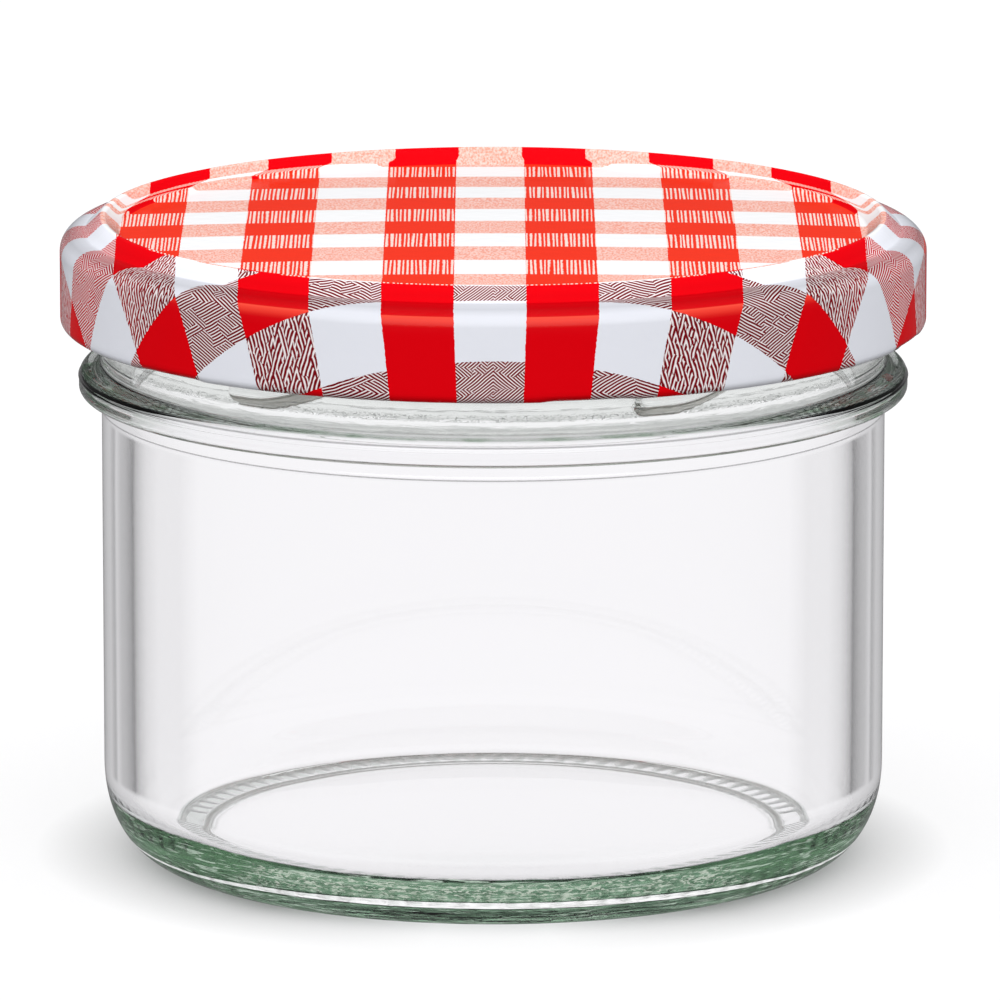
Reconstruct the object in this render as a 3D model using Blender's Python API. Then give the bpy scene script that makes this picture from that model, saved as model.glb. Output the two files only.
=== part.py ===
"""A small glass preserving jar with a printed lug lid.

Three pieces: the moulded glass jar, the drawn tinplate lid, and the sealing compound that lies in
the lid's rim as a soft ring. The jar stands on its bearing ring at z = 0, with its axis on Z and
the side that the photograph shows towards -Y. Metres throughout.
"""
import math

import bmesh
import bpy

# Glass body
BODY_RADIUS = 0.03895
WALL = 0.00295
JAR_HEIGHT = 0.0616
HEEL_WIDTH = 0.0065
HEEL_HEIGHT = 0.0094
BEARING_WIDTH = 0.0026
PUSH_UP = 0.0006
PUSH_UP_RISE_WIDTH = 0.0012
FLOOR_THICKNESS = 0.0018
FLOOR_FILLET_WIDTH = 0.0080
FLOOR_FILLET_HEIGHT = 0.0055
FLOOR_CROWN = 0.0004

# Transfer bead, the rounded collar under the lid
BEAD_PROUD = 0.00225
BEAD_BOTTOM_DROP = 0.0146
BEAD_HEIGHT = 0.0026
BEAD_ROUND_SHARE = 0.46
BEAD_FILLET = 0.00025
SHOULDER_FLARE = 0.0005
SHOULDER_DROP = 0.0019

# Rim and thread leads
RIM_ROUND_SHARE = 0.4
LEAD_PROUD = 0.0020
LEAD_FOOT = 0.0013
LEAD_CREST = 0.0006
LEAD_RAMP_DROP = 0.0034
LEAD_ENTRY_RISE = 0.0012
LEADS = 6

# Lid
SHEET = 0.0002
CURL_WIDTH = 0.0016
LEAD_CLEARANCE = 0.00045
LID_HEIGHT = 0.01085
SHOULDER_ROUND = 0.0020
SHOULDER_LEDGE = 0.0004
CREST_RISE = 0.00145
CREST_ROUND = 0.0005
CREST_SET_OUT = 0.0013
PANEL_DEPTH = 0.00155
PANEL_CROWN = 0.0006
PANEL_RING_SHARES = (0, 0.35, 0.7)
COUNTERSINK_WIDTH = 0.0010
LUG_HEIGHT = 0.0010
LUG_NECK_CLEARANCE = 0.00055
LUG_HEADROOM = 0.0002

# Sealing compound
SEAT_GAP = 0.0003
COMPOUND_THICKNESS = 0.0004
COMPOUND_INSET = 0.0008
COMPOUND_RIDGE_HALF_WIDTH = 0.0013
COMPOUND_RIDGE_DROP = 0.0010

# The turn is cut into equal steps; a lead's parts are counted in them, from its low end
STEPS = 72
LEAD_STEPS_LOW = 1
LEAD_STEPS_RAMP = 4
LEAD_STEPS_RUN = 3
LEAD_STEPS_ENTRY = 1
LEAD_LOW_END = math.radians(230)
STEP = 2 * math.pi / STEPS
PITCH = 2 * math.pi / LEADS
LEAD_STEPS = LEAD_STEPS_LOW + LEAD_STEPS_RAMP + LEAD_STEPS_RUN + LEAD_STEPS_ENTRY
GAP_STEPS = STEPS / LEADS - LEAD_STEPS
LUG_CENTRE = LEAD_LOW_END - STEP * GAP_STEPS / 2

# Worked out from the sizes above
INNER_RADIUS = BODY_RADIUS - WALL
FOOT_RADIUS = BODY_RADIUS - HEEL_WIDTH
FLOOR_Z = PUSH_UP + FLOOR_THICKNESS
BEAD_BOTTOM_Z = JAR_HEIGHT - BEAD_BOTTOM_DROP
BEAD_TOP_Z = BEAD_BOTTOM_Z + BEAD_HEIGHT
BEAD_ROUND = BEAD_HEIGHT * BEAD_ROUND_SHARE
RIM_MIDDLE = INNER_RADIUS + WALL / 2
RIM_ROUND = WALL * RIM_ROUND_SHARE
LEAD_RADIUS = BODY_RADIUS + LEAD_PROUD
LID_RADIUS = LEAD_RADIUS + LEAD_CLEARANCE + CURL_WIDTH
COMPOUND_BOTTOM_Z = JAR_HEIGHT + SEAT_GAP
COMPOUND_TOP_Z = COMPOUND_BOTTOM_Z + COMPOUND_THICKNESS
PANEL_Z = COMPOUND_TOP_Z + SEAT_GAP + SHEET
CREST_Z = PANEL_Z + PANEL_DEPTH
LID_BOTTOM_Z = CREST_Z - LID_HEIGHT
SHOULDER_Z = CREST_Z - CREST_RISE
CREST_RADIUS = RIM_MIDDLE + CREST_SET_OUT
PANEL_RADIUS = CREST_RADIUS - CREST_ROUND - COUNTERSINK_WIDTH
LUG_TOP_Z = LID_BOTTOM_Z + LUG_HEIGHT
LUG_REACH = LID_RADIUS - CURL_WIDTH - BODY_RADIUS - LUG_NECK_CLEARANCE
LEAD_RUN_Z = LUG_TOP_Z + LUG_HEADROOM + LEAD_FOOT
LEAD_LOW_Z = LEAD_RUN_Z - LEAD_RAMP_DROP
LEAD_ENTRY_Z = LEAD_RUN_Z + LEAD_ENTRY_RISE


def arc(centre_r, centre_z, round_r, round_z, start, end, count):
    """Points along a quarter or half round, both ends included; angles in degrees from +R to +Z."""
    points = []
    for k in range(count + 1):
        angle = math.radians(start + (end - start) * k / count)
        points.append((centre_r + round_r * math.cos(angle), centre_z + round_z * math.sin(angle)))
    return points


def material(name, colour, roughness, metallic, transmission=0.0):
    """A Principled material with the piece's colour, roughness and metallic value."""
    made = bpy.data.materials.new(name)
    made.use_nodes = True
    shader = made.node_tree.nodes["Principled BSDF"]
    shader.inputs["Base Color"].default_value = (*colour, 1.0)
    shader.inputs["Roughness"].default_value = roughness
    shader.inputs["Metallic"].default_value = metallic
    shader.inputs["Transmission Weight"].default_value = transmission
    return made


def turn_outline(outline, closed):
    """Spins an outline of (radius, height) points about Z and returns the bmesh and its row layer."""
    mesh = bmesh.new()
    row = mesh.verts.layers.int.new("row")
    points = []
    for index, (radius, height) in enumerate(outline):
        point = mesh.verts.new((radius, 0, height))
        point[row] = index
        points.append(point)
    edges = [mesh.edges.new(pair) for pair in zip(points, points[1:])]
    if closed:
        edges.append(mesh.edges.new((points[-1], points[0])))
    bmesh.ops.spin(mesh, geom=points + edges, cent=(0, 0, 0), axis=(0, 0, 1), angle=2 * math.pi, steps=STEPS)
    bmesh.ops.remove_doubles(mesh, verts=mesh.verts[:], dist=SHEET / STEPS)
    bmesh.ops.recalc_face_normals(mesh, faces=mesh.faces[:])
    return mesh, row


def add_piece(name, mesh, look):
    """Makes an object of a bmesh, smooth on its round faces and sharp at its corners."""
    bmesh.ops.recalc_face_normals(mesh, faces=mesh.faces[:])
    data = bpy.data.meshes.new(name)
    mesh.to_mesh(data)
    mesh.free()
    data.shade_smooth()
    data.set_sharp_from_angle(angle=math.radians(40))
    data.materials.append(look)
    piece = bpy.data.objects.new(name, data)
    bpy.context.collection.objects.link(piece)
    return piece


def steps_past(azimuth, start):
    """How many mesh steps an azimuth lies past a feature that repeats with the leads."""
    return ((azimuth - start + STEP / 2) % PITCH - STEP / 2) / STEP


def lead_rule(azimuth):
    """Height of a lead's middle line and how far it stands out there, from 0 to 1.

    Each lead rises anticlockwise: a low rounded end, a ramp that stops the lug, a nearly level
    run that the lug hooks under, and a short entry that ends beside the gap.
    """
    place = steps_past(azimuth, LEAD_LOW_END)
    ramp_start = LEAD_STEPS_LOW
    run_start = ramp_start + LEAD_STEPS_RAMP
    entry_start = run_start + LEAD_STEPS_RUN
    if place < ramp_start:
        height = LEAD_LOW_Z
    elif place < run_start:
        height = LEAD_LOW_Z + LEAD_RAMP_DROP * (place - ramp_start) / LEAD_STEPS_RAMP
    elif place < entry_start:
        height = LEAD_RUN_Z
    else:
        height = LEAD_RUN_Z + LEAD_ENTRY_RISE * min((place - entry_start) / LEAD_STEPS_ENTRY, 1)
    standing = max(0.0, min(place, LEAD_STEPS - place, 1.0))
    return height, standing


def glass_jar():
    """The moulded jar: recessed base, heel, straight wall, bead, neck with leads, rim, inside."""
    bearing_inner = FOOT_RADIUS - BEARING_WIDTH
    outline = [(0, PUSH_UP), (bearing_inner - PUSH_UP_RISE_WIDTH, PUSH_UP)]
    outline += [(bearing_inner, 0), (FOOT_RADIUS, 0)]
    outline += arc(FOOT_RADIUS, HEEL_HEIGHT, HEEL_WIDTH, HEEL_HEIGHT, -90, 0, 7)[1:]
    bead_radius = BODY_RADIUS + BEAD_PROUD
    bead_middle = bead_radius - BEAD_ROUND
    outline.append((BODY_RADIUS, BEAD_BOTTOM_Z - SHOULDER_DROP))
    outline.append((BODY_RADIUS + SHOULDER_FLARE / 2, BEAD_BOTTOM_Z - SHOULDER_DROP / 4))
    outline += arc(bead_middle, BEAD_BOTTOM_Z + BEAD_ROUND, BEAD_ROUND, BEAD_ROUND, -90, 0, 3)
    outline += arc(bead_middle, BEAD_TOP_Z - BEAD_ROUND, BEAD_ROUND, BEAD_ROUND, 0, 90, 3)
    outline.append((BODY_RADIUS + BEAD_FILLET, BEAD_TOP_Z + BEAD_FILLET))
    lead_rows = []
    for offset in (-LEAD_FOOT, -LEAD_CREST, LEAD_CREST, LEAD_FOOT):
        lead_rows.append((len(outline), offset))
        outline.append((BODY_RADIUS, (BEAD_TOP_Z + JAR_HEIGHT) / 2 + offset))
    outline += arc(BODY_RADIUS - RIM_ROUND, JAR_HEIGHT - RIM_ROUND, RIM_ROUND, RIM_ROUND, 0, 90, 3)
    outline += arc(INNER_RADIUS + RIM_ROUND, JAR_HEIGHT - RIM_ROUND, RIM_ROUND, RIM_ROUND, 90, 180, 3)
    fillet_r, fillet_z = INNER_RADIUS - FLOOR_FILLET_WIDTH, FLOOR_Z + FLOOR_FILLET_HEIGHT
    outline += arc(fillet_r, fillet_z, FLOOR_FILLET_WIDTH, -FLOOR_FILLET_HEIGHT, 0, 90, 5)
    outline.append((0, FLOOR_Z + FLOOR_CROWN))

    mesh, row = turn_outline(outline, closed=False)
    offsets = dict(lead_rows)
    for vertex in mesh.verts:
        if vertex[row] not in offsets:
            continue
        offset = offsets[vertex[row]]
        azimuth = math.atan2(vertex.co.y, vertex.co.x)
        height, standing = lead_rule(azimuth)
        proud = LEAD_PROUD * standing if abs(offset) < LEAD_FOOT else 0
        vertex.co.x = (BODY_RADIUS + proud) * math.cos(azimuth)
        vertex.co.y = (BODY_RADIUS + proud) * math.sin(azimuth)
        vertex.co.z = height + offset
    return add_piece("glass_jar", mesh, material("Clear glass", (0.86, 0.93, 0.89), 0.03, 0.0, 0.9))


def lid_shell():
    """The drawn tinplate lid: panel, crest, shoulder, skirt, and a curl pressed in at six lugs."""
    crest_middle_z = CREST_Z - CREST_ROUND
    shoulder_middle = LID_RADIUS - SHOULDER_ROUND
    curl_round = CURL_WIDTH / 2
    curl_middle = LID_RADIUS - curl_round
    outline = []
    for share in PANEL_RING_SHARES:
        outline.append((PANEL_RADIUS * share, PANEL_Z + PANEL_CROWN * (1 - share ** 2)))
    outline.append((PANEL_RADIUS, PANEL_Z))
    outline += arc(CREST_RADIUS, crest_middle_z, CREST_ROUND, CREST_ROUND, 160, 45, 4)
    outline.append((shoulder_middle - SHOULDER_LEDGE, SHOULDER_Z))
    outline += arc(shoulder_middle, SHOULDER_Z - SHOULDER_ROUND, SHOULDER_ROUND, SHOULDER_ROUND, 90, 0, 4)
    curl_start = len(outline)
    outline += arc(curl_middle, LID_BOTTOM_Z + curl_round, curl_round, curl_round, 0, -180, 4)
    outline.append((LID_RADIUS - CURL_WIDTH, LUG_TOP_Z))

    mesh, row = turn_outline(outline, closed=False)
    for vertex in mesh.verts:
        if vertex[row] < curl_start:
            continue
        azimuth = math.atan2(vertex.co.y, vertex.co.x)
        radius = math.hypot(vertex.co.x, vertex.co.y)
        away = abs(((azimuth - LUG_CENTRE + PITCH / 2) % PITCH) - PITCH / 2)
        pressed = LUG_REACH if away < STEP else 0
        radius -= pressed * (LID_RADIUS - radius) / CURL_WIDTH
        vertex.co.x = radius * math.cos(azimuth)
        vertex.co.y = radius * math.sin(azimuth)
    shell = add_piece("lid_shell", mesh, material("Red and white lacquer", (0.78, 0.05, 0.05), 0.25, 0.0))
    thicken = shell.modifiers.new("Sheet", "SOLIDIFY")
    thicken.thickness = SHEET
    thicken.offset = -1
    thicken.use_even_offset = True
    thicken.use_rim = True
    return shell


def sealing_ring():
    """The compound ring: flat towards the glass rim, with a ridge that fills the lid's crest."""
    inner = PANEL_RADIUS - COMPOUND_INSET
    outer = CREST_RADIUS + COMPOUND_RIDGE_HALF_WIDTH
    ridge_start = CREST_RADIUS - COMPOUND_RIDGE_HALF_WIDTH
    ridge_z = CREST_Z - COMPOUND_RIDGE_DROP
    outline = [(inner, COMPOUND_BOTTOM_Z), (inner, COMPOUND_TOP_Z), (ridge_start, COMPOUND_TOP_Z)]
    outline += [(CREST_RADIUS, ridge_z), (outer, COMPOUND_TOP_Z), (outer, COMPOUND_BOTTOM_Z)]
    mesh, row = turn_outline(outline, closed=True)
    return add_piece("sealing_ring", mesh, material("Sealing compound", (0.85, 0.83, 0.76), 0.6, 0.0))


for old in list(bpy.data.objects):
    bpy.data.objects.remove(old, do_unlink=True)

glass_jar()
lid_shell()
sealing_ring()
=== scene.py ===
"""Looks of a low glass preserving jar with a gingham lug lid, on a white studio table."""

import math

import bmesh
import bpy
import numpy as np
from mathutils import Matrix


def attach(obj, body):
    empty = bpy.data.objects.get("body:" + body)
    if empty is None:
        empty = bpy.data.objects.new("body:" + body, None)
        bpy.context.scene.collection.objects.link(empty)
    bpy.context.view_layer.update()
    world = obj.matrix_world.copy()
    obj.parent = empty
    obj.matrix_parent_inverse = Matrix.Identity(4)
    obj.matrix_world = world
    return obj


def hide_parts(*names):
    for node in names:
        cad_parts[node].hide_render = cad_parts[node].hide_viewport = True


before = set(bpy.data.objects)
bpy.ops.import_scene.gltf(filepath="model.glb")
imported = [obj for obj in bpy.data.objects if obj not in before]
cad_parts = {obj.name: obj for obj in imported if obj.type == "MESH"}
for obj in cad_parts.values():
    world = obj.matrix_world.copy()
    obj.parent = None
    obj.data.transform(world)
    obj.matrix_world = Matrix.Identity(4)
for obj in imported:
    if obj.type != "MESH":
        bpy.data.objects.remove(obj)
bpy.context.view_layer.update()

# The jar.
# Soda-lime glass, blown in an iron mould: one piece from the bearing ring to the rim. The neck ring
# of the mould forms the six inclined leads, and the base plate presses the ticks into the foot.
BODY_R, INNER_R, JAR_TOP = 0.03895, 0.03600, 0.0616
FOOT_IN, FOOT_OUT, TICKS = 0.02985, 0.03245, 86
PUSH_UP, PUSH_R, PUSH_FLAT = 0.0006, 0.0284, (0, 0.008, 0.016, 0.023, 0.0275)
HEEL_W, HEEL_H, HEEL_POWER = 0.0065, 0.0094, 0.94
FLOOR_Z, FLOOR_CROWN, FLOOR_FLAT = 0.0024, 0.0004, (0.022, 0.016, 0.008, 0)
FILLET_W, FILLET_H = 0.0080, 0.0055
BEAD_R, BEAD_LOW, BEAD_HIGH, BEAD_ROUND, BEAD_TUCK = 0.0412, 0.04685, 0.0494, 0.0011, 0.0006
SEAM_Z, BEAD_SEAM_Z, SEAM_PROUD = 0.0453, 0.04842, 0.00006
NECK_LOW, NECK_TUCK, RIM_ROUND = 0.0500, 0.0005, 0.00118
ROUND_STEPS, FINE = 240, 4


def bow(centre_r, centre_z, round_r, round_z, start, end, count, power=1.0):
    """Points on an elliptic arc, both ends included; degrees from +R towards +Z."""
    points = []
    for angle in np.radians(np.linspace(start, end, count + 1)):
        c, s = math.cos(angle), math.sin(angle)
        c = math.copysign(abs(c) ** power, c)
        s = math.copysign(abs(s) ** power, s)
        points.append((centre_r + round_r * c, centre_z + round_z * s))
    return points


def line(start, end, count):
    """Points on a straight line, without its first one."""
    shares = np.linspace(0, 1, count + 1)[1:]
    return [(start[0] + (end[0] - start[0]) * t, start[1] + (end[1] - start[1]) * t) for t in shares]


def eased(t):
    """A share from 0 to 1 that starts and ends gently."""
    return t * t * (3 - 2 * t)


def turned(name, rows, closed=False):
    """Turns rows of (radius, height, steps) about Z into a mesh; a row may be finer than the next."""
    mesh = bmesh.new()
    rings = []
    for radius, height, steps in rows:
        if radius < 1e-7:
            rings.append([mesh.verts.new((0, 0, height))])
            continue
        turns = [2 * math.pi * k / steps for k in range(steps)]
        rings.append([mesh.verts.new((radius * math.cos(t), radius * math.sin(t), height)) for t in turns])
    pairs = list(zip(rings, rings[1:])) + ([(rings[-1], rings[0])] if closed else [])
    for low, high in pairs:
        spans = max(min(len(low), len(high)), 1)
        if spans == 1:
            spans = max(len(low), len(high))
        for k in range(spans):
            corners = []
            for ring, backwards in ((low, False), (high, True)):
                per = len(ring) // spans
                part = [ring[(k * per + j) % len(ring)] for j in range(per + 1)] if per else ring
                corners += part[::-1] if backwards else part
            mesh.faces.new(corners)
    bmesh.ops.recalc_face_normals(mesh, faces=mesh.faces[:])
    data = bpy.data.meshes.new(name)
    mesh.to_mesh(data)
    mesh.free()
    data.shade_smooth()
    piece = bpy.data.objects.new(name, data)
    bpy.context.scene.collection.objects.link(piece)
    return piece


def fill(made, inputs):
    """Fills a node's inputs with values or links."""
    for key, value in inputs.items():
        if isinstance(value, bpy.types.NodeSocket):
            tree.links.new(value, made.inputs[key])
        else:
            made.inputs[key].default_value = value


def node(kind, inputs=None, **settings):
    """Adds a node to the tree in hand, which is always called tree, and fills its inputs."""
    made = tree.nodes.new(kind)
    for key, value in settings.items():
        setattr(made, key, value)
    fill(made, inputs or {})
    return made


def calc(operation, *terms):
    """A maths node on up to three terms, each a number or a socket."""
    return node("ShaderNodeMath", dict(enumerate(terms)), operation=operation).outputs[0]


def times(first, *others):
    """The product of masks or numbers."""
    for other in others:
        first = calc("MULTIPLY", first, other)
    return first


def minus(first, second):
    """The difference of two numbers."""
    return calc("SUBTRACT", first, second)


def raised(value, factor, start):
    """A value times a factor, on top of a start."""
    return calc("MULTIPLY_ADD", value, factor, start)


def reach(x, y):
    """How far a point lies from the axis."""
    return calc("SQRT", calc("ADD", times(x, x), times(y, y)))


def between(value, start, end):
    """A soft step from 0 at start to 1 at end."""
    return node("ShaderNodeMapRange", {"Value": value, "From Min": start, "From Max": end},
                interpolation_type="SMOOTHSTEP").outputs[0]


def vector(operation, *terms):
    """A vector maths node on up to two terms."""
    return node("ShaderNodeVectorMath", dict(enumerate(terms)), operation=operation).outputs[0]


def scaled(value, factor):
    """A vector times a number."""
    return node("ShaderNodeVectorMath", {0: value, "Scale": factor}, operation="SCALE").outputs[0]


def new_tree(name, sizes, finishes):
    """An empty geometry tree with inputs for its sizes and finishes, and those inputs."""
    made = bpy.data.node_groups.new(name, "GeometryNodeTree")
    made.interface.new_socket("Geometry", in_out="INPUT", socket_type="NodeSocketGeometry")
    made.interface.new_socket("Geometry", in_out="OUTPUT", socket_type="NodeSocketGeometry")
    for label in sizes:
        made.interface.new_socket(label, in_out="INPUT", socket_type="NodeSocketFloat")
    for label in finishes:
        made.interface.new_socket(label, in_out="INPUT", socket_type="NodeSocketMaterial")
    return made, made.nodes.new("NodeGroupInput").outputs


def around():
    """Place, radius, azimuth and height of each point."""
    here = node("GeometryNodeInputPosition").outputs[0]
    x, y, z = node("ShaderNodeSeparateXYZ", {0: here}).outputs
    return here, reach(x, y), calc("ARCTAN2", y, x), z


def moved(facing, amount, upward=0.0):
    """Moves each point by an amount off the axis, (1, 1, 0), or towards it, (-1, -1, 0), and upward."""
    away = scaled(vector("NORMALIZE", vector("MULTIPLY", place, facing)), amount)
    rise = node("ShaderNodeCombineXYZ", {2: upward}).outputs[0]
    placed = {"Geometry": size["Geometry"], "Offset": vector("ADD", away, rise)}
    return node("GeometryNodeSetPosition", placed).outputs[0]


def shaped_by(piece, shaper, sizes):
    """Runs a geometry tree on a piece with these sizes, and keeps the result as a plain mesh."""
    modifier = piece.modifiers.new("Shape", "NODES")
    modifier.node_group = shaper
    for item in shaper.interface.items_tree:
        if item.in_out == "INPUT" and item.name in sizes:
            modifier[item.identifier] = sizes[item.name]
    evaluated = piece.evaluated_get(bpy.context.evaluated_depsgraph_get())
    made = bpy.data.meshes.new_from_object(evaluated)
    piece.modifiers.remove(modifier)
    piece.data = made
    made.shade_smooth()


jar_rows = [(r, PUSH_UP, ROUND_STEPS) for r in PUSH_FLAT]
for t in np.linspace(0, 1, 8)[:-1]:
    jar_rows.append((PUSH_R + (FOOT_IN - PUSH_R) * t, PUSH_UP * (1 - eased(t)), ROUND_STEPS))
jar_rows += [(r, 0, ROUND_STEPS * FINE) for r in np.linspace(FOOT_IN, FOOT_OUT, 11)]
heel = bow(FOOT_OUT, HEEL_H, HEEL_W, HEEL_H, -90, 0, 26, HEEL_POWER)[1:]
outside = heel + line(heel[-1], (BODY_R, SEAM_Z - 0.0004), 6)
outside += [(BODY_R + proud, SEAM_Z + up) for proud, up in
            ((0.00001, -0.0002), (SEAM_PROUD, 0), (0.00001, 0.0002))]
outside += bow(BODY_R + BEAD_TUCK, BEAD_LOW - BEAD_TUCK, -BEAD_TUCK, BEAD_TUCK, 0, 90, 6)
outside += bow(BEAD_R - BEAD_TUCK, BEAD_LOW + BEAD_TUCK, BEAD_TUCK, BEAD_TUCK, -90, 0, 7)
outside += [(BEAD_R + proud, BEAD_SEAM_Z + up) for proud, up in
            ((0, -0.00022), (0, -0.00007), (SEAM_PROUD, 0), (-0.00004, 0.00008))]
outside += bow(BEAD_R - BEAD_ROUND, BEAD_HIGH - BEAD_ROUND, BEAD_ROUND, BEAD_ROUND, 20, 90, 8)
outside += bow(BODY_R + BEAD_TUCK, NECK_LOW, -BEAD_TUCK, -NECK_TUCK, 80, 0, 5)
jar_rows += [(r, z, ROUND_STEPS) for r, z in outside]
neck_top = JAR_TOP - RIM_ROUND
jar_rows += [(BODY_R, z, ROUND_STEPS * FINE) for z in np.linspace(NECK_LOW + 0.0002, neck_top - 0.0002, 34)]
inside = bow(BODY_R - RIM_ROUND, neck_top, RIM_ROUND, RIM_ROUND, 0, 90, 9)
inside += bow(INNER_R + RIM_ROUND, neck_top, RIM_ROUND, RIM_ROUND, 90, 180, 9)
inside += line(inside[-1], (INNER_R, FLOOR_Z + FILLET_H), 8)
inside += bow(INNER_R - FILLET_W, FLOOR_Z + FILLET_H, FILLET_W, -FILLET_H, 0, 90, 20)[1:]
inside += [(r, FLOOR_Z + FLOOR_CROWN * (1 - (r / (INNER_R - FILLET_W)) ** 2)) for r in FLOOR_FLAT]
jar_rows += [(r, z, ROUND_STEPS) for r, z in inside]
jar = turned("clear_glass_jar", jar_rows)

mould_sizes = {
    "Leads": 6.0, "Lead start": math.radians(230), "Low end turn": math.radians(5),
    "Ramp turn": math.radians(20), "Lead turn": math.radians(45), "Entry turn": math.radians(5),
    "Run height": 0.0560, "Ramp drop": 0.0034, "Entry rise": 0.0012,
    "Lead proud": 0.0020, "Lead half height": 0.0014, "Lead power": 0.62, "Neck radius": BODY_R,
    "Neck low": NECK_LOW, "Neck high": neck_top,
    "Ticks": TICKS, "Tick depth": 0.00016, "Ring inside": FOOT_IN, "Ring outside": FOOT_OUT,
}
tree, size = new_tree("Leads and base ticks from the mould", mould_sizes, ["Material"])
place, radius, azimuth, height = around()
# A lead starts with a ramp, runs level, and turns up at its rounded entry.
pitch = calc("DIVIDE", 2 * math.pi, size["Leads"])
along = calc("FLOORED_MODULO", minus(azimuth, size["Lead start"]), pitch)
climb = between(calc("DIVIDE", minus(along, size["Low end turn"]), size["Ramp turn"]), 0.0, 1.0)
entry = calc("DIVIDE", minus(along, minus(size["Lead turn"], size["Entry turn"])), size["Entry turn"])
entry = node("ShaderNodeClamp", {0: entry}).outputs[0]
middle = minus(size["Run height"], times(size["Ramp drop"], minus(1.0, climb)))
middle = raised(size["Entry rise"], entry, middle)
# Its section is round, and so are its ends.
travel = times(along, size["Neck radius"])
far_end = minus(times(size["Lead turn"], size["Neck radius"]), size["Lead half height"])
nearest = calc("MINIMUM", calc("MAXIMUM", travel, size["Lead half height"]), far_end)
over = minus(travel, nearest)
rise = minus(height, middle)
away = calc("ADD", times(over, over), times(rise, rise))
share = calc("DIVIDE", away, times(size["Lead half height"], size["Lead half height"]))
cross = calc("POWER", calc("MAXIMUM", minus(1.0, share), 0.0), size["Lead power"])
on_neck = times(calc("GREATER_THAN", height, size["Neck low"]), calc("LESS_THAN", height, size["Neck high"]),
                calc("GREATER_THAN", radius, minus(size["Neck radius"], 0.0002)))
outward = times(size["Lead proud"], cross, on_neck)
# The ticks are pressed up into the flat of the bearing ring.
middle_r = times(calc("ADD", size["Ring inside"], size["Ring outside"]), 0.5)
half_w = times(minus(size["Ring outside"], size["Ring inside"]), 0.5)
off_middle = calc("DIVIDE", minus(radius, middle_r), half_w)
on_ring = calc("MAXIMUM", minus(1.0, calc("POWER", off_middle, 4.0)), 0.0)
on_ring = times(on_ring, calc("LESS_THAN", height, 0.0001))
tick = calc("COSINE", times(azimuth, size["Ticks"]))
tick = calc("POWER", raised(tick, 0.5, 0.5), 1.5)
shaped = moved((1, 1, 0), outward, times(size["Tick depth"], tick, on_ring))
real = node("GeometryNodeRealizeInstances", {0: shaped}).outputs[0]
finished = node("GeometryNodeSetMaterial", {"Geometry": real, "Material": size["Material"]}).outputs[0]
node("NodeGroupOutput", {0: finished})
mould = tree


def new_material(name):
    """A new material, its tree and its shader."""
    made = bpy.data.materials.new(name)
    made.use_nodes = True
    return made, made.node_tree, made.node_tree.nodes["Principled BSDF"]


def noise(at, size, detail, distortion=0.0, output="Fac"):
    """Soft noise; a larger size is finer."""
    return node("ShaderNodeTexNoise", {"Vector": at, "Scale": size, "Detail": detail,
                                       "Distortion": distortion}).outputs[output]


def mix(factor, first, second, blend="MIX"):
    """Mixes two colours by a mask."""
    return node("ShaderNodeMix", {0: factor, 6: first, 7: second}, data_type="RGBA", blend_type=blend).outputs[2]


def greys(*stops):
    """Grey stops of a ramp, from pairs of a value and a level."""
    return [(at, level, level, level) for at, level in stops]


def ramp(value, low, high, stops):
    """A colour ramp over a value from low to high, through (value, red, green, blue) stops."""
    made = node("ShaderNodeValToRGB", {0: raised(value, 1 / (high - low), -low / (high - low))})
    places = [(stop[0] - low) / (high - low) for stop in stops]
    parts = made.color_ramp.elements
    for at in places[1:-1]:
        parts.new(at)
    for part, at, stop in zip(parts, places, stops):
        part.position, part.color = at, (*stop[1:], 1)
    return made.outputs[0]


def relief(height, strength, distance):
    """A normal from a height over the surface."""
    return node("ShaderNodeBump", {"Height": height, "Strength": strength, "Distance": distance}).outputs[0]


# Painted light and shade lines in the heel, over the glass's green, by height in mm, seen square on: the light that
# gathers in the thick glass.
HEEL_LINES = (
    (0.30, 0.75), (0.50, 0.70), (0.62, 0.20), (0.74, 0.12), (0.90, 0.55), (1.08, 0.22), (1.20, 0.10), (1.42, 0.30),
    (1.70, 0.20), (1.90, 0.40), (2.04, 0.36), (2.10, 0.05), (3.14, 0.05), (3.24, 0.50), (3.60, 0.46), (4.10, 0.44),
    (4.32, 0.30), (4.48, 0.30), (4.64, 0.50), (5.16, 0.34), (5.34, 0.44), (5.42, 0.04), (5.70, 0.04))
HEEL_TOP = (5.80, 0.55), (6.30, 0.80), (6.85, 0.86), (7.40, 1.0)
# Painted light and shade lines round the neck by height in mm: level, and how much red and blue there is for its
# green.
NECK_LINES = (
    (49.35, 0.10, 0.92), (49.50, 0.30, 0.92), (49.75, 0.22, 0.92), (49.95, 0.42, 0.93), (50.15, 0.34, 0.93),
    (50.40, 0.55, 0.94), (50.60, 0.97, 0.97), (50.95, 0.97, 0.97), (51.15, 0.45, 0.94), (51.40, 0.60, 0.94),
    (51.75, 0.72, 0.94), (51.98, 0.65, 0.94), (52.05, 0.22, 0.93), (52.20, 0.80, 0.94), (52.90, 0.60, 0.94),
    (53.30, 0.60, 0.95), (54.20, 0.98, 0.99))
# Painted shade along the mould's parting lines under the bead and on it, by height in mm.
SEAM_SHADE_LINES = (
    (44.90, 1.0), (45.14, 0.90), (45.18, 0.22), (45.28, 0.22), (45.33, 1.0),
    (48.72, 1.0), (48.80, 0.28), (48.90, 0.28), (48.97, 1.0))
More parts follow.
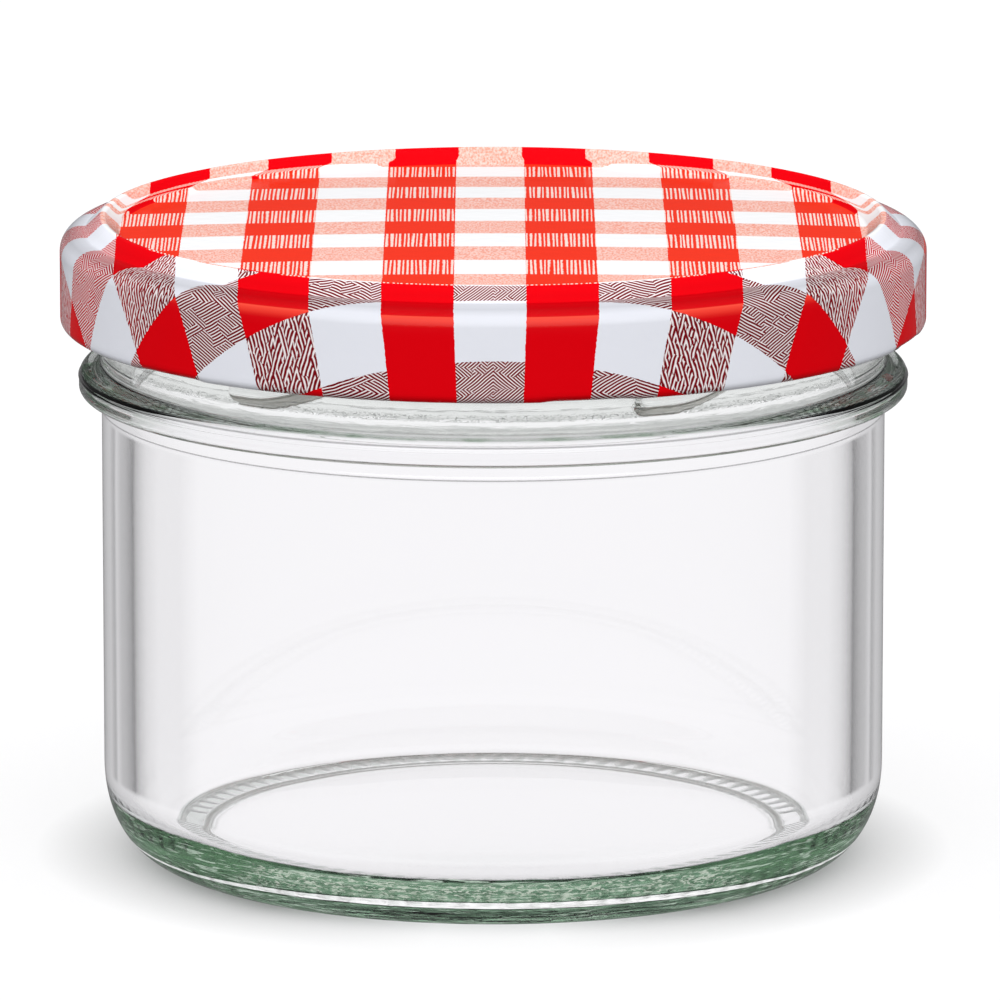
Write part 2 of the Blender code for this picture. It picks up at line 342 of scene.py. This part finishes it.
# Painted shade: dark upright bands near the sides of the wall, by how far the glass turns away from 0 to 1.
WALL_SHADE_BANDS = (
    (0.36, 1.0), (0.42, 0.84), (0.50, 0.90), (0.554, 0.76), (0.585, 0.56), (0.609, 0.36), (0.622, 0.14), (0.648, 0.28),
    (0.675, 0.43), (0.707, 0.55), (0.742, 0.96), (0.763, 0.42), (0.785, 0.58), (0.81, 0.95), (0.85, 1.0))
GREEN_RED, GREEN_BLUE = 0.38, 0.46
CLEAR, HEEL_SIDE_SHADE, HEEL_LIGHT = (1.0, 1.0, 1.0, 1), (0.012, 0.060, 0.015, 1), (0.98, 1.0, 0.98, 1)
GLINT, GLOOM, LIGHT_SPECK, DARK_SPECK = (
    (0.42, 0.66, 0.44, 1), (0.008, 0.030, 0.012, 1), (0.55, 0.72, 0.50, 1), (0.020, 0.090, 0.035, 1))
NECK_SQUIGGLE_SHADE, BEAD_FRONT, BEAD_SIDE_SHADE, TICK_SHADE_GREEN = (
    (0.03, 0.04, 0.03, 1), (0.96, 0.96, 0.97, 1), (0.08, 0.22, 0.09, 1), (0.10, 0.20, 0.13, 1))
FROST, HEEL_GLOW = 0.28, 0.28
# In mm: the height of the painted clear line of light, and how far the painted lines sink near the foot, waver, and
# close up towards the middle of the heel with each share that the glass turns away.
LIGHT_LINE_Z, FOOT_SINK, WAVER, CLOSE_UP, CLOSE_MIDDLE, MOST_TURN = 2.64, -0.88, 0.24, -1.243, 5.46, 0.27

glass, tree, shader = new_material("Clear soda-lime glass")
at_mm = scaled(node("ShaderNodeTexCoord").outputs["Object"], 1000.0)
x, y, z = node("ShaderNodeSeparateXYZ", {0: at_mm}).outputs[:3]
out_mm = reach(x, y)
entering = minus(1.0, node("ShaderNodeNewGeometry").outputs["Backfacing"])
edge_on = node("ShaderNodeLayerWeight", {"Blend": 0.5}).outputs["Facing"]
chill = noise(vector("MULTIPLY", at_mm, (0.16, 0.16, 1.1)), 1.6, 4.0, 0.6)
fine_chill = noise(vector("MULTIPLY", at_mm, (0.24, 0.24, 3.6)), 1.1, 4.0, 1.2)

# The heel, in painted light and shade over the glass's green: its lines close up and darken where it turns away,
# and one clear painted line of light runs through.
side_on = minus(edge_on, raised(between(z, 5.5, -0.5), 0.52, 0.15))
turn = node("ShaderNodeClamp", {0: side_on, 1: 0.0, 2: MOST_TURN}).outputs[0]
heel_z = raised(between(z, 4.0, 0.3), FOOT_SINK, z)
heel_z = raised(turn, raised(z, CLOSE_UP, CLOSE_MIDDLE), heel_z)
heel_z = raised(minus(chill, 0.5), WAVER, heel_z)
greens = [(z_mm, level ** 2 * GREEN_RED, level ** 2, level ** 2 * GREEN_BLUE) for z_mm, level in HEEL_LINES]
heel_green_and_painted_light = ramp(heel_z, 0, 8, greens + greys(*HEEL_TOP))
off_line = raised(turn, 1.05, calc("ABSOLUTE", minus(heel_z, LIGHT_LINE_Z)))
light_line = between(off_line, 0.46, 0.40)
below_top = between(heel_z, 5.80, 5.72)
lively = times(minus(1.0, light_line), below_top)
# Painted shade: the heel goes dark green where the glass turns away.
heel_green_and_painted_light = mix(times(between(side_on, 0.04, 0.24), lively, 0.92), heel_green_and_painted_light, HEEL_SIDE_SHADE)
# Lighter and darker specks in the heel's middle band, where the glass faces square on.
speck = noise(vector("MULTIPLY", at_mm, (1.1, 1.1, 3.2)), 1.5, 2.0, 0.8)
speckled_band = times(between(side_on, 0.22, 0.14), between(heel_z, 3.20, 3.40), between(heel_z, 5.30, 5.10))
# Painted glints and gloom along the streaks, the specks, and the painted clear line of light are laid over the heel.
for mask, shade in ((times(between(fine_chill, 0.56, 0.62), lively, 0.65), GLINT),
                    (times(between(fine_chill, 0.46, 0.40), lively, 0.75), GLOOM),
                    (times(between(speck, 0.52, 0.62), speckled_band, 0.75), LIGHT_SPECK),
                    (times(between(speck, 0.46, 0.38), speckled_band, 0.65), DARK_SPECK),
                    (light_line, HEEL_LIGHT)):
    heel_green_and_painted_light = mix(mask, heel_green_and_painted_light, shade)
outer_heel = between(raised(z, -0.6, out_mm), 32.8, 33.4)
on_heel = times(between(heel_z, 7.70, 7.30), outer_heel, entering)

# The bead and the neck under the lid's skirt, with painted light and shade.
on_bead = times(between(z, 46.2, 47.0), between(z, 50.4, 49.4))
on_neck = between(z, 49.2, 49.8)
# Painted shade: dark squiggles on the neck where the leads behind show through.
ripples = noise(vector("MULTIPLY", at_mm, (0.55, 0.55, 1.6)), 2.2, 2.0, 1.5)
ripples = calc("ABSOLUTE", minus(ripples, 0.5))
painted_squiggles = times(between(ripples, 0.040, 0.015), between(z, 50.85, 51.0), between(z, 51.75, 51.5))
neck_z = raised(minus(fine_chill, 0.5), on_neck, z)
neck_light_and_shade = ramp(neck_z, 44, 56, [(z_mm, level * tone, level, level * tone) for z_mm, level, tone in NECK_LINES])
neck_light_and_shade = mix(times(painted_squiggles, 0.85), neck_light_and_shade, NECK_SQUIGGLE_SHADE)
# Painted dark lines along the mould's parting lines.
seam_shade = ramp(z, 44, 53, greys(*SEAM_SHADE_LINES))
# Painted shade: the bead goes darker green where it turns away, streaked by noise.
edge_on_shade = times(between(edge_on, 0.25, 0.80), raised(between(chill, 0.40, 0.60), 0.65, 0.35))
bead_colour = mix(1.0, mix(edge_on_shade, BEAD_FRONT, BEAD_SIDE_SHADE), seam_shade, "MULTIPLY")
glass_colour = mix(on_neck, mix(on_bead, seam_shade, bead_colour), neck_light_and_shade)
outer = times(between(out_mm, 37.0, 37.6), entering)
glass_colour = mix(outer, CLEAR, glass_colour)

# The wall with its painted shade bands, the heel over it, and the ticks in the bearing ring.
on_wall = times(between(z, 7.0, 9.5), between(z, 45.0, 44.6), outer)
glass_colour = mix(on_wall, glass_colour, ramp(edge_on, 0, 1, greys(*WALL_SHADE_BANDS)))
glass_colour = mix(on_heel, glass_colour, heel_green_and_painted_light)
# Painted shade: the ticks in the bearing ring get a darker green shade.
on_ring = times(between(z, 0.5, 0.4), between(out_mm, 29.4, 29.8), between(out_mm, 32.9, 32.6))
tick = calc("SINE", times(calc("ARCTAN2", y, x), TICKS))
tick = times(between(raised(chill, 1.2, tick), 0.6, 1.0), on_ring, 0.60)
# The heel's painted line of light also glows, by Emission: painted light.
fill(shader, {"Base Color": mix(tick, glass_colour, TICK_SHADE_GREEN), "IOR": 1.52, "Transmission Weight": 1.0,
              "Emission Color": times(light_line, on_heel), "Emission Strength": HEEL_GLOW,
              "Roughness": times(on_ring, FROST), "Normal": relief(times(chill, on_heel, below_top), 1.0, 0.00010)})
tint = node("ShaderNodeVolumeAbsorption", {"Color": (0.0, 0.60, 0.20, 1), "Density": 1.3}).outputs[0]
fill(tree.nodes["Material Output"], {"Volume": tint})

shaped_by(jar, mould, {**mould_sizes, "Material": glass})
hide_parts("glass_jar")
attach(jar, "jar")

# The lid.
# Tinplate 0.2 mm thick, printed flat and drawn to shape, so the checks bend down the skirt. Its edge
# is rolled inwards into a curl, which is pressed in at six places to make the lugs.
LID_R, SHEET = 0.0430, 0.0002
PANEL_R, PANEL_Z, PANEL_CROWN, PANEL_ROUND = 0.037275, 0.0628, 0.0006, 0.0004
CREST_R, CREST_Z, CREST_ROUND = 0.038775, 0.06435, 0.0005
LEDGE_R, LEDGE_Z, LEDGE_ROUND = 0.0406, 0.0629, 0.0003
SHOULDER_ROUND = 0.0020
LID_LOW, CURL = 0.0535, 0.0016

panel_edge = PANEL_R - PANEL_ROUND
lid_outline = [(r, PANEL_Z + PANEL_CROWN * (1 - (r / PANEL_R) ** 2)) for r in np.linspace(0, panel_edge, 24)]
lid_outline += bow(panel_edge, PANEL_Z + PANEL_ROUND, PANEL_ROUND, PANEL_ROUND, -70, -10, 4)
lid_outline += bow(CREST_R, CREST_Z - CREST_ROUND, CREST_ROUND, CREST_ROUND, 160, 48, 9)
lid_outline += bow(LEDGE_R, LEDGE_Z + LEDGE_ROUND, LEDGE_ROUND, LEDGE_ROUND, 235, 270, 3)
lid_outline += bow(LID_R - SHOULDER_ROUND, LEDGE_Z - SHOULDER_ROUND, SHOULDER_ROUND, SHOULDER_ROUND, 90, 0, 16)
lid_outline += line(lid_outline[-1], (LID_R, LID_LOW + CURL / 2 + 0.0004), 10)
lid_outline += bow(LID_R - CURL / 2, LID_LOW + CURL / 2, CURL / 2, CURL / 2, 0, -180, 14)
lid_outline += bow(LID_R - CURL / 2, LID_LOW + CURL / 2 + 0.0001, CURL / 2, CURL / 2 * 0.7, 180, 80, 8)[1:]
outline = np.array(lid_outline)
tangent = np.gradient(outline, axis=0)
tangent /= np.linalg.norm(tangent, axis=1)[:, None]
inner = outline + np.column_stack([tangent[:, 1], -tangent[:, 0]]) * SHEET
inner[0, 0] = 0
steps = np.full(len(outline), ROUND_STEPS * 2)
rows = list(zip(outline[:, 0], outline[:, 1], steps)) + list(zip(inner[::-1, 0], inner[::-1, 1], steps))
lid = turned("gingham_lid", rows)

# Where the flat print lies once the sheet is drawn: the place on the print, and mm past the crest.
# Rows and columns are stretched down the skirt, and less so beyond the sides of the front.
FRONT_END, FRONT_FADE = 58, 24
FRONT_ROW, FRONT_STRETCH, FRONT_SHIFT = 28.2, 0.96, 3.05
BACK_ROW, BACK_STRETCH = 38.8, 0.90
COLUMN_STRETCH, STRETCH_FROM = 0.45, 4.9

past_crest = np.concatenate([[0], np.cumsum(np.linalg.norm(np.diff(outline, axis=0), axis=1))]) * 1000
past_crest = past_crest - past_crest[int(np.argmax(outline[:, 1]))]
counts = [1 if row[0] < 1e-7 else row[2] for row in rows]


def per_vertex(outer_rows, inner_rows):
    """A value for each vertex of the lid, from one for each row of its outer and inner side."""
    return np.repeat(np.concatenate([outer_rows, inner_rows]), counts)


drawn = per_vertex(past_crest, past_crest[::-1])
drawn_r = per_vertex(outline[:, 0], outline[::-1, 0]) * 1000
points = np.array([v.co for v in lid.data.vertices])
bearing = np.arctan2(points[:, 0], -points[:, 1])
pulled = np.maximum(drawn, 0)
off_front = eased(np.clip((np.degrees(np.abs(bearing)) - FRONT_END) / FRONT_FADE, 0, 1))
column_r = drawn_r + COLUMN_STRETCH * np.maximum(pulled - STRETCH_FROM, 0)
row_r = (FRONT_ROW + FRONT_STRETCH * pulled) * (1 - off_front) + (BACK_ROW + BACK_STRETCH * pulled) * off_front
row_y = -row_r * np.cos(bearing) - FRONT_SHIFT * (1 - off_front)
for label, kind, field, values in (
        ("printed", "FLOAT_VECTOR", "vector", np.column_stack([column_r * np.sin(bearing), row_y, drawn])),
        ("around", "FLOAT", "value", np.abs(bearing) * LID_R * 1000),
        ("inside", "FLOAT", "value", per_vertex(np.zeros(len(outline)), np.ones(len(outline))))):
    lid.data.attributes.new(label, kind, "POINT").data.foreach_set(field, values.ravel())

lug_sizes = {
    "Lugs": 6.0, "Lug azimuth": math.radians(222.5), "Lug half turn": math.radians(4.2),
    "Lug end turn": math.radians(2.6), "Reach": 0.0019, "Lid radius": LID_R, "Curl width": CURL,
    "Curl top": LID_LOW + 0.0012, "Curl inside": 0.040,
}
tree, size = new_tree("Lugs pressed from the curl", lug_sizes, ["Material", "Inside material"])
place, radius, azimuth, height = around()
pitch = calc("DIVIDE", 2 * math.pi, size["Lugs"])
half_pitch = times(pitch, 0.5)
along = calc("ADD", minus(azimuth, size["Lug azimuth"]), half_pitch)
off_lug = calc("ABSOLUTE", minus(calc("FLOORED_MODULO", along, pitch), half_pitch))
pressed = between(calc("DIVIDE", minus(off_lug, size["Lug half turn"]), size["Lug end turn"]), 1.0, 0.0)
depth = calc("DIVIDE", minus(size["Lid radius"], radius), size["Curl width"])
on_curl = times(calc("LESS_THAN", height, size["Curl top"]), calc("GREATER_THAN", radius, size["Curl inside"]))
shaped = moved((-1, -1, 0), times(times(size["Reach"], pressed), times(depth, on_curl)))
real = node("GeometryNodeRealizeInstances", {0: shaped}).outputs[0]
coated = node("GeometryNodeSetMaterial", {"Geometry": real, "Material": size["Material"]}).outputs[0]
side = node("GeometryNodeInputNamedAttribute", {"Name": "inside"}, data_type="FLOAT").outputs[0]
finished = node("GeometryNodeSetMaterial", {"Geometry": coated, "Material": size["Inside material"],
                                            "Selection": calc("GREATER_THAN", side, 0.6)}).outputs[0]
node("NodeGroupOutput", {0: finished})
press = tree


def evenly(value, start, end, low=0.0, high=1.0):
    """An even slope from low at start to high at end, and level beyond them."""
    return node("ShaderNodeMapRange", {"Value": value, "From Min": start, "From Max": end,
                                       "To Min": low, "To Max": high}).outputs[0]


def hatch(along, over, lean, pitch_mm, patch_mm, share):
    """Fine engraved lines that change their slant from patch to patch, like a herringbone weave."""
    patch = noise(vector("DIVIDE", at_mm, patch_mm), 1.0, 1.0)
    side = raised(calc("GREATER_THAN", patch, 0.5), 2.0, -1.0)
    run = raised(times(side, lean), over, along)
    run = raised(patch, 0.9 * pitch_mm, run)
    wave = calc("SINE", times(run, 2 * math.pi / pitch_mm))
    return evenly(wave, share - 0.45, share + 0.45)


def odd(value):
    """1 where a value is in the second half of each pair of steps, else 0."""
    return calc("GREATER_THAN", calc("FLOORED_MODULO", value, 2.0), 1.0)


# The print, in mm on the flat sheet: its checks, where the outer columns start to lean, how far rows
# follow the far rim and columns widen there, its ragged edges, its engraved lines, and its inks.
CHECK_W, CHECK_H, MIDDLE, FIRST_ROW = 6.95, 6.84, -0.31, 1.09
LEAN_FROM, LEAN, RIM_FOLLOW, RIM_WIDEN, RAGGED = 24.0, 0.12, 0.9, 0.07, 0.16
SKIRT_FROM, CREST_FROM = 0.15, -2.4
FINE_PITCH, TALL_PITCH = 0.33, 0.43
# The top's red and white are lit copies of the inks, the red with painted sheen, and the skirt's are shaded copies.
LIT_TOP_RED, SHADED_SIDE_RED, GLEAM_RED = (0.82, 0.034, 0.012, 1), (0.735, 0.001, 0.005, 1), (1.0, 0.085, 0.050, 1)
LIT_TOP_WHITE, SHADED_SIDE_WHITE = (0.865, 0.87, 0.885, 1), (0.815, 0.83, 0.90, 1)
TALL_INK, TALL_INK_BEHIND = (0.19, 0.003, 0.008, 1), (0.52, 0.008, 0.018, 1)
FINE_INK, FINE_INK_BEHIND = (0.17, 0.002, 0.008, 1), (0.56, 0.012, 0.024, 1)
SIDE_PALE, TICK_PALE = (0.90, 0.83, 0.84, 1), (0.88, 0.68, 0.62, 1)
STIPPLE_DARK, STIPPLE_PALE = (0.83, 0.32, 0.24, 1), (0.87, 0.60, 0.54, 1)
# The rounded shoulder's painted gleam and painted shade, by mm drawn past the crest.
GLEAM = (4.76, 0.0), (4.84, 1.0), (5.05, 0.70), (5.25, 0.52), (5.45, 0.36), (5.62, 0.18), (5.90, 0.0)
SHADE = (
    (0.1, 1.0), (1.4, 0.90), (2.1, 0.92), (2.6, 0.76), (3.3, 0.64), (3.9, 0.60), (4.4, 0.73), (4.75, 0.84),
    (5.1, 0.90), (5.5, 0.96), (6.0, 1.0))

lacquer, tree, shader = new_material("Gingham lacquer")
at_mm = scaled(node("ShaderNodeTexCoord").outputs["Object"], 1000.0)
drawn_at = node("ShaderNodeAttribute", attribute_name="printed").outputs["Vector"]
drawn_mm = node("ShaderNodeSeparateXYZ", {0: drawn_at}).outputs[2]
around_mm = node("ShaderNodeAttribute", attribute_name="around").outputs["Fac"]
on_skirt = calc("GREATER_THAN", drawn_mm, SKIRT_FROM)
sheet_at = node("ShaderNodeMix", {0: on_skirt, 4: at_mm, 5: drawn_at}, data_type="VECTOR").outputs[1]
ragged = vector("SUBTRACT", noise(at_mm, 3.2, 1.0, output="Color"), (0.5, 0.5, 0.5))
print_at = vector("ADD", sheet_at, scaled(ragged, RAGGED))
across, down = node("ShaderNodeSeparateXYZ", {0: print_at}).outputs[:2]
# Along the far rim the rows follow the rim, and the outer columns lean outwards.
out_at = vector("MULTIPLY", print_at, (1, 1, 0))
out_mm = node("ShaderNodeVectorMath", {0: out_at}, operation="LENGTH").outputs["Value"]
far_rim = times(between(drawn_mm, -2.0, -1.3), between(down, 2.0, 12.0), minus(1.0, on_skirt))
down = raised(minus(out_mm, down), times(far_rim, RIM_FOLLOW), down)
across = times(across, raised(far_rim, RIM_WIDEN, 1.0))
lean = times(calc("MAXIMUM", minus(calc("ABSOLUTE", across), LEAN_FROM), 0.0), LEAN)
across = raised(calc("SIGN", across), lean, across)
# Down the front of the skirt the two middle columns are solid red.
column = odd(raised(across, 1 / CHECK_W, 0.5 - MIDDLE / CHECK_W))
row = odd(raised(down, 1 / CHECK_H, -FIRST_ROW / CHECK_H))
near_front = calc("LESS_THAN", calc("ABSOLUTE", minus(across, MIDDLE)), 1.5 * CHECK_W)
red_row = calc("MAXIMUM", row, times(on_skirt, near_front, calc("LESS_THAN", down, 0.0)))
solid = times(column, red_row)
column_only = times(column, minus(1.0, red_row))
row_only = times(minus(1.0, column), row)

tall_hatch = hatch(around_mm, drawn_mm, 0.30, TALL_PITCH, (0.60, 0.60, 1.5), 0.30)
fine_lean = evenly(around_mm, 8.0, 22.0, 0.85, 0.55)
fine_hatch = hatch(drawn_mm, around_mm, fine_lean, FINE_PITCH, (2.6, 2.6, 1.6), 0.34)
stroke = noise(vector("MULTIPLY", at_mm, (1.0, 0.025, 0.0)), 1.6, 1.0)
ticks = calc("SINE", times(raised(stroke, 0.5, across), 2 * math.pi / TALL_PITCH))
ticks = evenly(ticks, -0.2, 0.5)
stipple = evenly(noise(vector("MULTIPLY", at_mm, (1.0, 0.45, 1.0)), 5.0, 1.0), 0.34, 0.66)
behind = evenly(around_mm, 36.0, 50.0)
side_column = mix(tall_hatch, mix(behind, TALL_INK, TALL_INK_BEHIND), SIDE_PALE)
side_row = mix(fine_hatch, mix(behind, FINE_INK, FINE_INK_BEHIND), SIDE_PALE)
# Lit copies of the inks on top, shaded copies down the skirt.
colour = mix(on_skirt, LIT_TOP_WHITE, SHADED_SIDE_WHITE)
colour = mix(column_only, colour, mix(on_skirt, mix(ticks, LIT_TOP_RED, TICK_PALE), side_column))
colour = mix(row_only, colour, mix(on_skirt, mix(stipple, STIPPLE_DARK, STIPPLE_PALE), side_row))
colour = mix(solid, colour, mix(calc("GREATER_THAN", drawn_mm, CREST_FROM), LIT_TOP_RED, SHADED_SIDE_RED))
# Painted highlight on the shoulder's solid red, then painted shade down the shoulder.
colour = mix(times(ramp(drawn_mm, 0, 8, greys(*GLEAM)), solid), colour, GLEAM_RED)
colour = mix(1.0, colour, ramp(drawn_mm, 0, 8, greys(*SHADE)), "MULTIPLY")
shine = times(between(drawn_mm, 3.5, 4.1), between(drawn_mm, 6.8, 5.6), 0.3)
peel = noise(at_mm, 0.55, 2.0)
fill(shader, {"Base Color": colour, "Roughness": 0.16, "IOR": 1.5, "Specular IOR Level": 0.02,
              "Coat Weight": shine, "Coat Roughness": 0.14, "Normal": relief(peel, 0.25, 0.00012)})

enamel, tree, shader = new_material("Cream inside enamel")
coords = node("ShaderNodeTexCoord").outputs["Object"]
cloud = noise(coords, 60.0, 4.0)
grain = noise(coords, 2500.0, 1.0)
fill(shader, {"Base Color": mix(cloud, (0.88, 0.86, 0.80, 1), (0.93, 0.91, 0.86, 1)),
              "Roughness": evenly(cloud, 0.0, 1.0, 0.28, 0.42), "Normal": relief(grain, 0.15, 0.00005)})

shaped_by(lid, press, {**lug_sizes, "Material": lacquer, "Inside material": enamel})
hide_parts("lid_shell")
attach(lid, "lid")

# The sealing ring.
# Off-white compound that is flowed into the lid's channel and baked, so it is soft and slightly matt.
RING_IN, RING_OUT, RING_LOW, RING_HIGH = 0.036475, 0.040075, 0.0619, 0.0623
RING_EDGE, SWELL_W, SWELL_H = 0.0002, 0.0012, 0.0010
ring_rows = bow(RING_IN + RING_EDGE, RING_LOW + RING_EDGE, RING_EDGE, RING_EDGE, 270, 90, 6)
ring_rows += bow(CREST_R, RING_HIGH, SWELL_W, SWELL_H, 170, 10, 12)
ring_rows += bow(RING_OUT - RING_EDGE, RING_LOW + RING_EDGE, RING_EDGE, RING_EDGE, 90, -90, 6)
ring = turned("compound_ring", [(r, z, ROUND_STEPS) for r, z in ring_rows], closed=True)
compound, tree, shader = new_material("Sealing compound")
flow = noise(node("ShaderNodeTexCoord").outputs["Object"], 220.0, 3.0)
fill(shader, {"Base Color": mix(flow, (0.78, 0.75, 0.67, 1), (0.88, 0.86, 0.79, 1)),
              "Roughness": evenly(flow, 0.0, 1.0, 0.45, 0.65), "Normal": relief(flow, 0.3, 0.0001)})
ring.data.materials.append(compound)
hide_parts("sealing_ring")
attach(ring, "seal")

# The studio.
# A white table that runs on behind the jar, soft light all round, and one soft box over the front.
TABLE_R, TABLE_DROP = 4.0, 0.00004
TABLE_WHITE, TABLE_GLOW, GLASS_WHITE = (0.21, 0.21, 0.205, 1), (0.985, 0.985, 1.0, 1), (1.0, 0.985, 1.012, 1)
GLOW, SHADE_REACH, SHADE_FRONT, SHADE_BESIDE = 0.785, 0.009, 0.05, 0.48


def rays():
    """Light Path's outputs, and masks of the rays that were reflected and that came through glass."""
    kinds = node("ShaderNodeLightPath").outputs
    return kinds, *[calc("GREATER_THAN", kinds[label], 0.5) for label in ("Glossy Depth", "Transmission Depth")]


def either(mask, plain, other):
    """One number where a mask is 0, and the other where it is 1."""
    return node("ShaderNodeMix", {0: mask, 2: plain, 3: other}).outputs[0]


table_mesh = bmesh.new()
bmesh.ops.create_circle(table_mesh, cap_ends=True, segments=96, radius=TABLE_R)
data = bpy.data.meshes.new("white_table")
table_mesh.to_mesh(data)
table_mesh.free()
table = bpy.data.objects.new("white_table", data)
bpy.context.scene.collection.objects.link(table)
table.location.z = -TABLE_DROP
paper, tree, shader = new_material("White table")
tree.nodes.remove(shader)
path, reflected, in_glass = rays()
matt = node("ShaderNodeBsdfDiffuse", {"Color": TABLE_WHITE}).outputs[0]
# The soft shade under the jar is a painted shadow in the table's glow, stronger beside it than in front of it.
outwards = vector("NORMALIZE", node("ShaderNodeTexCoord").outputs["Object"])
aside = calc("ABSOLUTE", node("ShaderNodeSeparateXYZ", {0: outwards}).outputs[0])
open_sky = node("ShaderNodeAmbientOcclusion", {"Distance": SHADE_REACH}).outputs["AO"]
shade = times(minus(1.0, open_sky), raised(evenly(aside, 0.15, 0.65), SHADE_BESIDE, SHADE_FRONT))
glow = times(path["Is Camera Ray"], minus(GLOW, shade))
glow = node("ShaderNodeEmission", {"Color": TABLE_GLOW, "Strength": glow}).outputs[0]
plain = node("ShaderNodeAddShader", {0: matt, 1: glow}).outputs[0]
level = either(reflected, 1.0, either(in_glass, 0.20, 0.80))
clean = node("ShaderNodeEmission", {"Color": GLASS_WHITE, "Strength": level}).outputs[0]
through = calc("MAXIMUM", path["Is Transmission Ray"], reflected)
total = node("ShaderNodeMixShader", {0: through, 1: plain, 2: clean}).outputs[0]
fill(tree.nodes["Material Output"], {"Surface": total})
data.materials.append(paper)

# The room: white where it is seen, brightest above and in front for matt things, and for gloss a
# low light in front and a dim white in all other directions.
world = bpy.data.worlds.new("Soft white room")
bpy.context.scene.world = world
world.use_nodes = True
tree = world.node_tree
path, reflected, in_glass = rays()
direction = node("ShaderNodeTexCoord").outputs["Generated"]
ahead, up = node("ShaderNodeSeparateXYZ", {0: direction}).outputs[1:3]
matt_sky = times(evenly(up, 0.0, 1.0, 0.35, 1.8), raised(ahead, -0.95, 1.0))
front_light = times(evenly(ahead, -0.55, -0.80), evenly(up, 0.66, 0.50))
gloss_sky = either(in_glass, raised(front_light, 2.1, 0.08), 0.95)
seen = calc("MAXIMUM", path["Is Camera Ray"], path["Is Transmission Ray"])
fill(tree.nodes["Background"], {
    "Strength": either(reflected, either(seen, matt_sky, 1.0), gloss_sky),
    "Color": mix(path["Is Transmission Ray"], (1, 1, 1, 1), GLASS_WHITE)})

lamp_data = bpy.data.lights.new("soft_box", "AREA")
lamp_data.shape = "RECTANGLE"
lamp_data.size, lamp_data.size_y = 1.2, 0.5
lamp_data.energy = 0.3
lamp = bpy.data.objects.new("soft_box", lamp_data)
lamp.location = (0, -0.9, 0.95)
lamp.rotation_euler = (math.radians(43), 0, 0)
bpy.context.scene.collection.objects.link(lamp)

camera_data = bpy.data.cameras.new("photo_camera")
camera_data.sensor_width = 36.0
camera_data.lens = 380.67
camera_data.shift_x = 0.00677
camera = bpy.data.objects.new("photo_camera", camera_data)
camera.location = (0, -1.03269, 0.24945)
camera.rotation_euler = (math.radians(78.2855), 0, 0)
bpy.context.scene.collection.objects.link(camera)
bpy.context.scene.camera = camera
bpy.context.scene.view_settings.view_transform = "Standard"
# Light is turned many times in the thick ends of the glass before it comes out.
light_paths = bpy.context.scene.cycles
light_paths.max_bounces, light_paths.glossy_bounces, light_paths.transmission_bounces = 28, 20, 24
